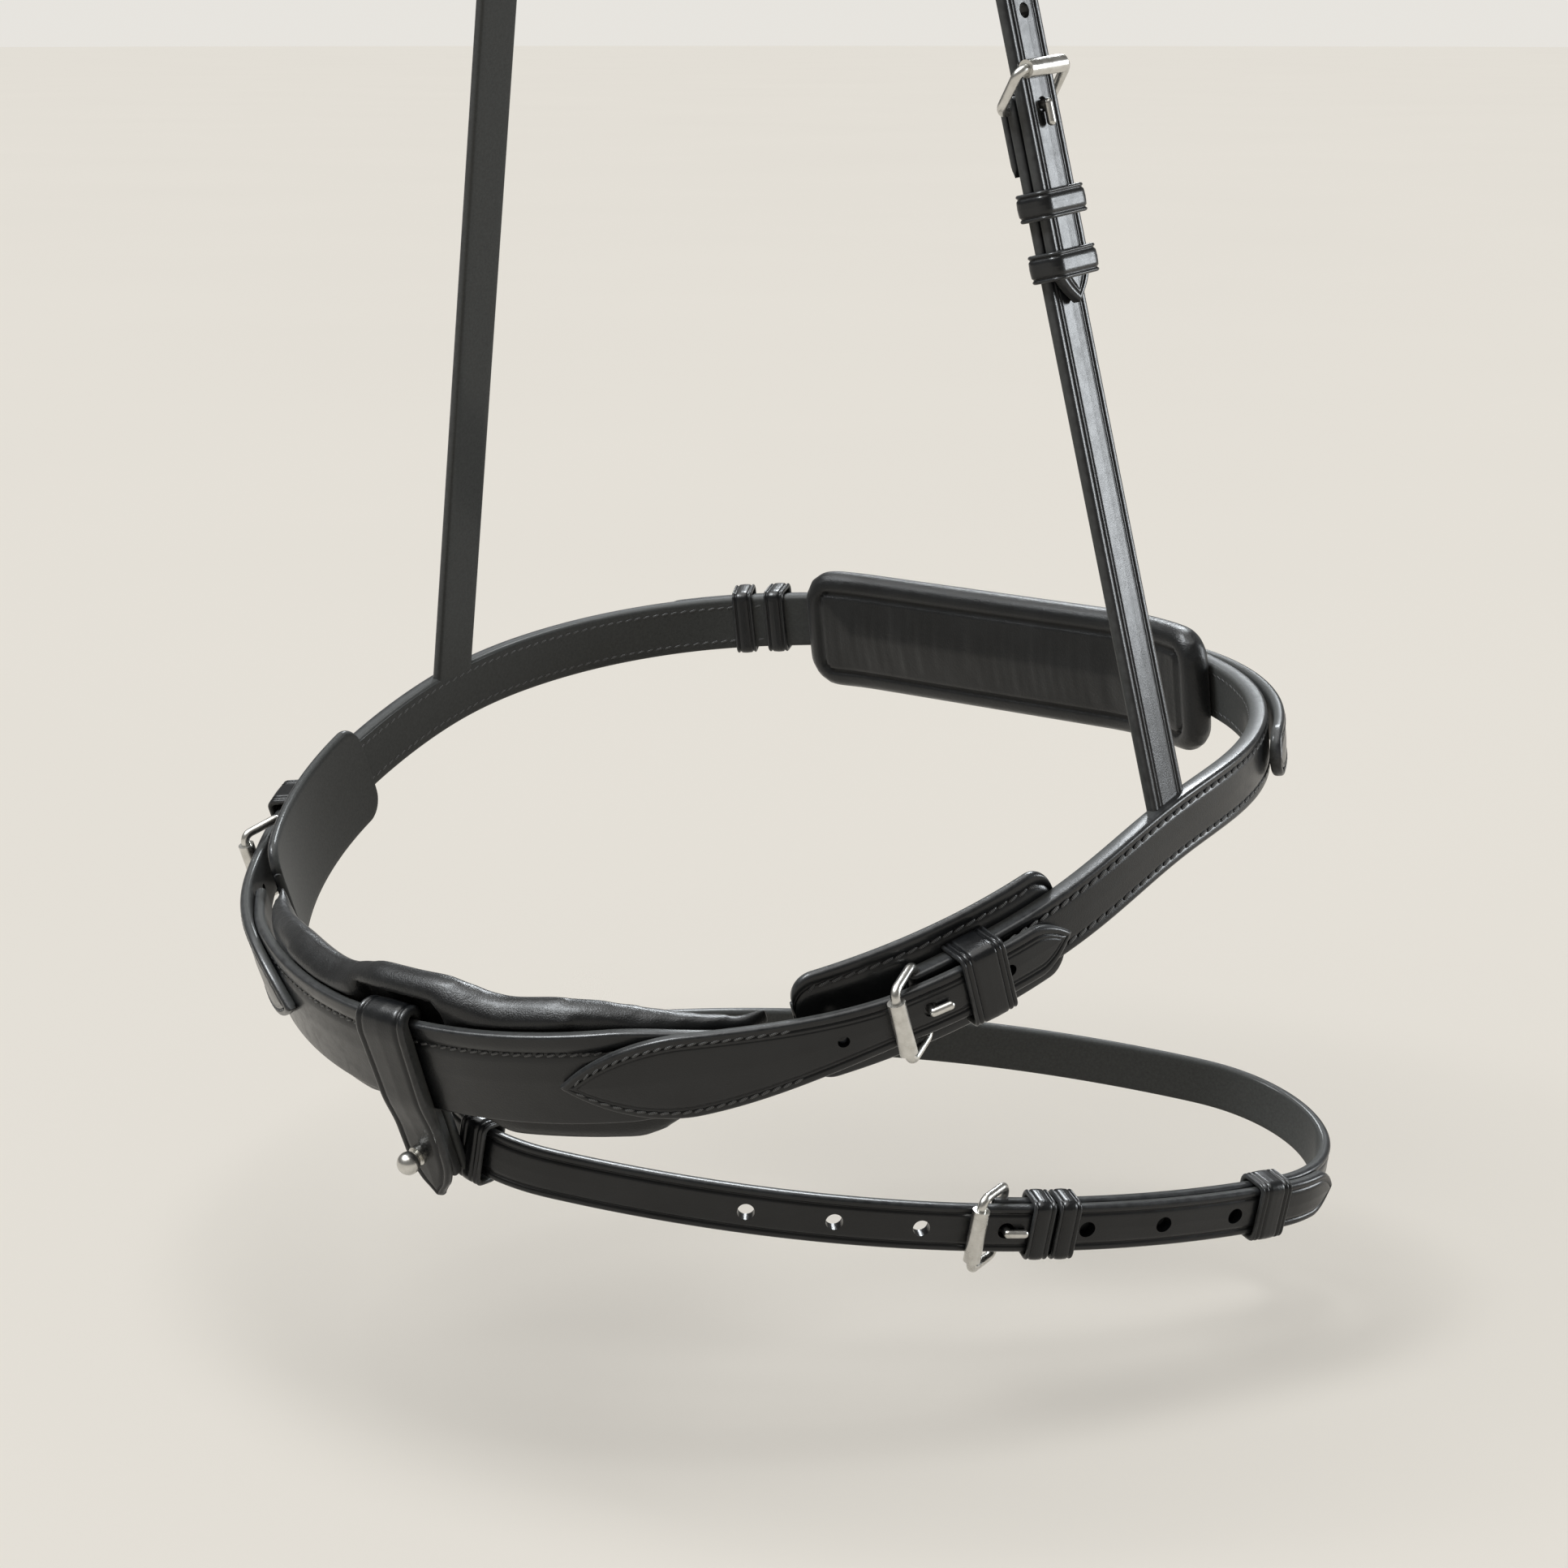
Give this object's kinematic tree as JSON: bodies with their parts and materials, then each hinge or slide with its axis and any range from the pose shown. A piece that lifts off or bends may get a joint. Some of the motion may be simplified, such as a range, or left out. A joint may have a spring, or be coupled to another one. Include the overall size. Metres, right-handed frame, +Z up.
{
  "type": "flash noseband with sliphead",
  "caption": "Leather horse noseband with padded nose and chin pieces, buckled side bands, a long headpiece strap over the poll and a removable flash strap.",
  "frame": {"origin": "underside of the headpiece at the middle of the poll", "axes": "+Z up along the hanging straps, -Y towards the front of the nose, +X to the horse's near (left) side"},
  "size_m": [0.2803, 0.2671, 0.5118],
  "materials": {
    "black_leather": "semi-gloss grain side, matte flesh side",
    "padded_leather": "soft padded, satin",
    "satin_nickel": "satin nickel"
  },
  "bodies": {
    "noseband": {"headpiece_strap": "black_leather", "cheek_strap_near": "black_leather", "cheek_keeper_upper": "black_leather", "side_band_near": "black_leather", "side_band_off": "black_leather", "buckle_guard_near": "black_leather", "buckle_guard_off": "black_leather", "nose_keeper_near": "black_leather", "nose_keeper_off": "black_leather", "nosepiece_face": "black_leather", "nosepiece_padding": "padded_leather", "nose_billet_near": "black_leather", "nose_billet_off": "black_leather", "chin_pad": "padded_leather", "chin_chape": "black_leather", "chin_billet": "black_leather", "chin_keeper_back": "black_leather"},
    "cheek_keeper_lower": {"cheek_keeper_lower": "black_leather"},
    "chin_keeper_front": {"chin_keeper_front": "black_leather"},
    "nose_loop": {"nose_loop": "black_leather", "ball_stud": "satin_nickel", "flash_carrier": "black_leather"},
    "flash_strap": {"flash_strap": "black_leather", "flash_keeper_a": "black_leather", "flash_keeper_b": "black_leather"},
    "flash_slider": {"flash_slider": "black_leather"},
    "near_nose_buckle_frame": {"near_nose_buckle_frame": "satin_nickel"},
    "near_nose_buckle_roller": {"near_nose_buckle_roller": "satin_nickel"},
    "near_nose_buckle_prong": {"near_nose_buckle_prong": "satin_nickel"},
    "off_nose_buckle_frame": {"off_nose_buckle_frame": "satin_nickel"},
    "off_nose_buckle_roller": {"off_nose_buckle_roller": "satin_nickel"},
    "off_nose_buckle_prong": {"off_nose_buckle_prong": "satin_nickel"},
    "chin_buckle_frame": {"chin_buckle_frame": "satin_nickel"},
    "chin_buckle_roller": {"chin_buckle_roller": "satin_nickel"},
    "chin_buckle_prong": {"chin_buckle_prong": "satin_nickel"},
    "cheek_buckle_frame": {"cheek_buckle_frame": "satin_nickel"},
    "cheek_buckle_roller": {"cheek_buckle_roller": "satin_nickel"},
    "cheek_buckle_prong": {"cheek_buckle_prong": "satin_nickel"},
    "flash_buckle_frame": {"flash_buckle_frame": "satin_nickel"},
    "flash_buckle_roller": {"flash_buckle_roller": "satin_nickel"},
    "flash_buckle_prong": {"flash_buckle_prong": "satin_nickel"}
  },
  "joints": [
    {"name": "near_nose_buckle_frame_swing", "type": "hinge", "parent": "noseband", "child": "near_nose_buckle_frame", "pos_m": [0.11158, -0.04617, -0.42234], "axis": [0, -0.3469, 0.9379], "range_deg": [0, 35]},
    {"name": "near_nose_buckle_roller_spin", "type": "hinge", "parent": "near_nose_buckle_frame", "child": "near_nose_buckle_roller", "pos_m": [0.11454, -0.05707, -0.42637], "axis": [0, 0.3469, -0.9379], "continuous": true},
    {"name": "near_nose_buckle_prong_tilt", "type": "hinge", "parent": "noseband", "child": "near_nose_buckle_prong", "pos_m": [0.11158, -0.04617, -0.42234], "axis": [0, -0.3469, 0.9379], "range_deg": [-4, 4]},
    {"name": "off_nose_buckle_frame_swing", "type": "hinge", "parent": "noseband", "child": "off_nose_buckle_frame", "pos_m": [-0.11158, -0.04617, -0.42234], "axis": [0, 0.3469, -0.9379], "range_deg": [0, 35]},
    {"name": "off_nose_buckle_roller_spin", "type": "hinge", "parent": "off_nose_buckle_frame", "child": "off_nose_buckle_roller", "pos_m": [-0.11454, -0.05707, -0.42637], "axis": [0, -0.3469, 0.9379], "continuous": true},
    {"name": "off_nose_buckle_prong_tilt", "type": "hinge", "parent": "noseband", "child": "off_nose_buckle_prong", "pos_m": [-0.11158, -0.04617, -0.42234], "axis": [0, 0.3469, -0.9379], "range_deg": [-4, 4]},
    {"name": "chin_buckle_frame_swing", "type": "hinge", "parent": "noseband", "child": "chin_buckle_frame", "pos_m": [-0.014, 0.13775, -0.37744], "axis": [0, -0.1461, 0.9893], "range_deg": [0, 35]},
    {"name": "chin_buckle_roller_spin", "type": "hinge", "parent": "chin_buckle_frame", "child": "chin_buckle_roller", "pos_m": [-0.00533, 0.14596, -0.37622], "axis": [0, 0.1461, -0.9893], "continuous": true},
    {"name": "chin_buckle_prong_tilt", "type": "hinge", "parent": "noseband", "child": "chin_buckle_prong", "pos_m": [-0.014, 0.13775, -0.37744], "axis": [0, -0.1461, 0.9893], "range_deg": [-4, 4]},
    {"name": "cheek_buckle_frame_swing", "type": "hinge", "parent": "noseband", "child": "cheek_buckle_frame", "pos_m": [0.09029, 0.01863, -0.21734], "axis": [0, 0.9963, 0.0854], "range_deg": [0, 35]},
    {"name": "cheek_buckle_roller_spin", "type": "hinge", "parent": "cheek_buckle_frame", "child": "cheek_buckle_roller", "pos_m": [0.09664, 0.01776, -0.2072], "axis": [0, -0.9963, -0.0854], "continuous": true},
    {"name": "cheek_buckle_prong_tilt", "type": "hinge", "parent": "noseband", "child": "cheek_buckle_prong", "pos_m": [0.09029, 0.01863, -0.21734], "axis": [0, 0.9963, 0.0854], "range_deg": [-4, 4]},
    {"name": "flash_buckle_frame_swing", "type": "hinge", "parent": "flash_strap", "child": "flash_buckle_frame", "pos_m": [0.10534, -0.00477, -0.49168], "axis": [0.2041, -0.0069, 0.9789], "range_deg": [0, 35]},
    {"name": "flash_buckle_roller_spin", "type": "hinge", "parent": "flash_buckle_frame", "child": "flash_buckle_roller", "pos_m": [0.10712, -0.01662, -0.49213], "axis": [-0.2041, 0.0069, -0.9789], "continuous": true},
    {"name": "flash_buckle_prong_tilt", "type": "hinge", "parent": "flash_strap", "child": "flash_buckle_prong", "pos_m": [0.10534, -0.00477, -0.49168], "axis": [0.2041, -0.0069, 0.9789], "range_deg": [-4, 4]},
    {"name": "cheek_keeper_slide", "type": "slide", "parent": "noseband", "child": "cheek_keeper_lower", "axis": [-0.2052, -0.0836, 0.9751], "range_m": [-0.003, 0.004]},
    {"name": "chin_keeper_slide", "type": "hinge", "parent": "noseband", "child": "chin_keeper_front", "pos_m": [-0.043, 0.05346, -0.38988], "axis": [0, -0.1461, 0.9893], "range_deg": [-2, 6]},
    {"name": "nose_loop_slide", "type": "hinge", "parent": "noseband", "child": "nose_loop", "pos_m": [0, 0.01304, -0.40043], "axis": [0, -0.3469, 0.9379], "range_deg": [-1.5, 1.5]},
    {"name": "flash_swing", "type": "hinge", "parent": "nose_loop", "child": "flash_strap", "pos_m": [0.0066, -0.09025, -0.4717], "axis": [0.2041, -0.0069, 0.9789], "range_deg": [-2.5, 2.5]},
    {"name": "flash_slider_slide", "type": "hinge", "parent": "flash_strap", "child": "flash_slider", "pos_m": [-0.1035, 0.14443, -0.44709], "axis": [-0.2041, 0.0069, -0.9789], "range_deg": [0, 8]}
  ]
}
